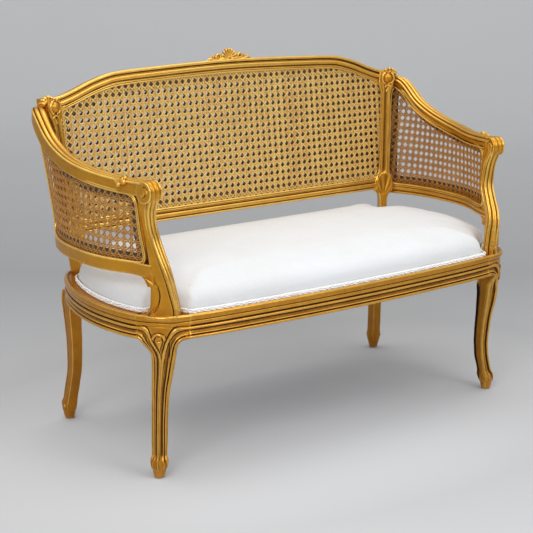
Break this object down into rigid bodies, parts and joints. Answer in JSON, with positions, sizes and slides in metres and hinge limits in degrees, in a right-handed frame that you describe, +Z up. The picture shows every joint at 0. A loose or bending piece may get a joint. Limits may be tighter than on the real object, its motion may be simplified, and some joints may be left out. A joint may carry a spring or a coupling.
{
  "type": "settee",
  "caption": "Cabriole-legged settee with a carved gilt wooden frame, open cane back and sides that wrap round, and a white upholstered seat.",
  "frame": {"origin": "centre of the bounding box at the underside of the feet", "axes": "+Z up, the front of the seat faces -Y, +X towards the sitter's left hand"},
  "size_m": [1.1902, 0.57, 0.9132],
  "materials": {
    "gilt_wood": "carved and gilt, warm antique gold with darker hollows",
    "cane": "woven open cane, lightly gilt",
    "white_cloth": "plain white upholstery cloth",
    "white_braid": "white braided gimp",
    "filling": "upholstery filling",
    "jute": "woven jute",
    "dark_cambric": "thin black cambric",
    "steel": "plain steel",
    "plain_wood": "unfinished beech"
  },
  "bodies": {
    "root": {"front_seat_rail": "gilt_wood", "back_seat_rail": "gilt_wood", "right_seat_rail": "gilt_wood", "left_seat_rail": "gilt_wood", "front_leg_left": "gilt_wood", "rear_leg_left": "gilt_wood", "front_glide_left": "steel", "rear_glide_left": "steel", "arm_post_left": "gilt_wood", "arm_rail_left": "gilt_wood", "corner_stile_left": "gilt_wood", "lower_side_rail_left": "gilt_wood", "front_leg_right": "gilt_wood", "rear_leg_right": "gilt_wood", "front_glide_right": "steel", "rear_glide_right": "steel", "arm_post_right": "gilt_wood", "arm_rail_right": "gilt_wood", "corner_stile_right": "gilt_wood", "lower_side_rail_right": "gilt_wood", "crest_rail": "gilt_wood", "lower_back_rail": "gilt_wood", "crest_shell": "gilt_wood", "corner_rosette_left": "gilt_wood", "corner_leaf_left": "gilt_wood", "front_brace_left": "plain_wood", "front_brace_screw_left_1": "steel", "front_brace_screw_left_2": "steel", "rear_brace_left": "plain_wood", "rear_brace_screw_left_1": "steel", "rear_brace_screw_left_2": "steel", "corner_rosette_right": "gilt_wood", "corner_leaf_right": "gilt_wood", "front_brace_right": "plain_wood", "front_brace_screw_right_1": "steel", "front_brace_screw_right_2": "steel", "rear_brace_right": "plain_wood", "rear_brace_screw_right_1": "steel", "rear_brace_screw_right_2": "steel", "back_cane_front": "cane", "back_cane_rear": "cane", "side_cane_left": "cane", "side_cane_right": "cane", "seat_webbing": "jute", "seat_burlap": "jute", "seat_pad": "filling", "seat_cover": "white_cloth", "seat_gimp": "white_braid", "dust_cover": "dark_cambric"}
  },
  "joints": []
}
